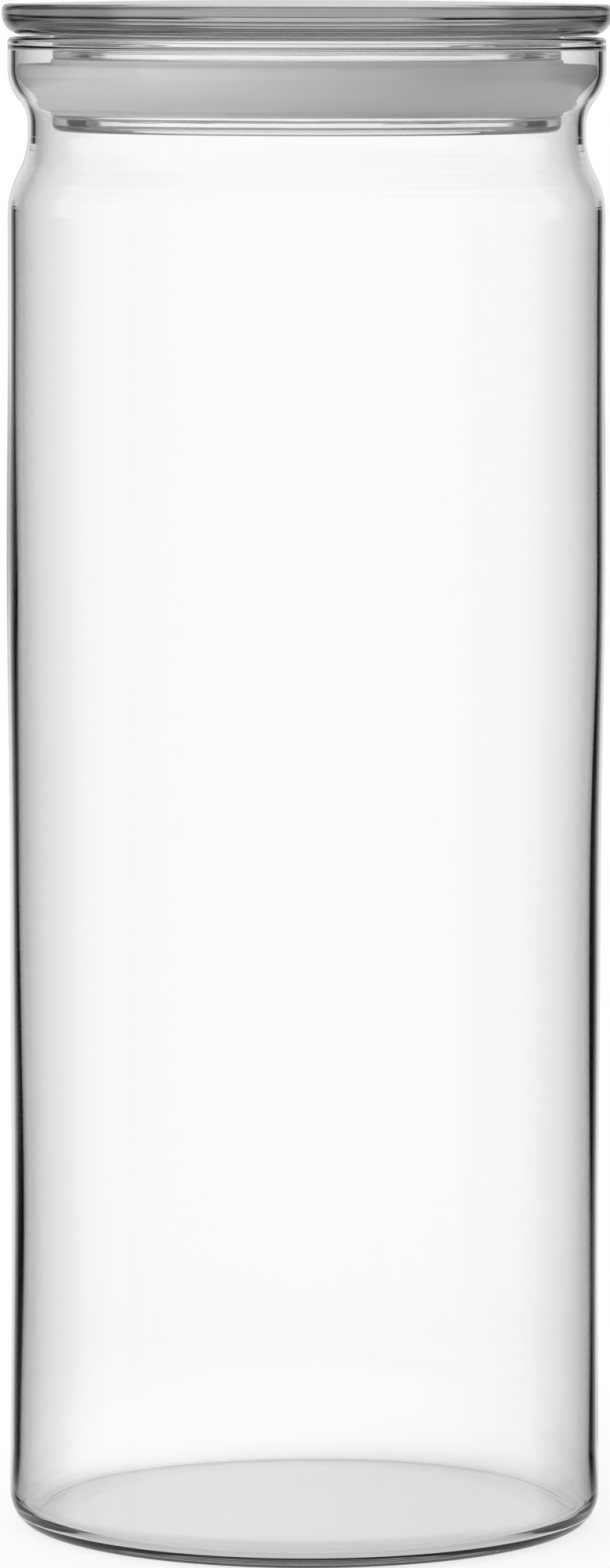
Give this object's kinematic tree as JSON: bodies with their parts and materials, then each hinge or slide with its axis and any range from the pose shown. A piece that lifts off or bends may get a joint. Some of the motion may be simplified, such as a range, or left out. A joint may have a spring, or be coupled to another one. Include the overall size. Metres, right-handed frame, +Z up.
{
  "type": "storage canister",
  "caption": "Tall round glass storage canister with a drawn-in waist, a lift-off glass lid with a hollow grooved skirt, and a flared silicone seal ring.",
  "frame": {"origin": "centre of the foot ring, on the plane that the canister stands on", "axes": "+Z up along the axis of the canister, from the foot to the lid; round about Z, so X and Y are free"},
  "size_m": [0.115, 0.115, 0.2898],
  "materials": {
    "jar_glass": "clear, blown, fire-polished lip",
    "lid_glass": "clear, pressed, thick",
    "silicone": "milky, satin"
  },
  "bodies": {
    "jar": {"jar_body": "jar_glass"},
    "seal": {"seal_ring": "silicone"},
    "lid": {"lid_glass": "lid_glass"}
  },
  "joints": [
    {"name": "lid_lift", "type": "slide", "parent": "jar", "child": "seal", "axis": [0, 0, 1], "range_m": [0, 0.06]},
    {"name": "lid_turn", "type": "hinge", "parent": "seal", "child": "lid", "pos_m": [0, 0, 0.2735], "axis": [0, 0, 1], "continuous": true}
  ]
}
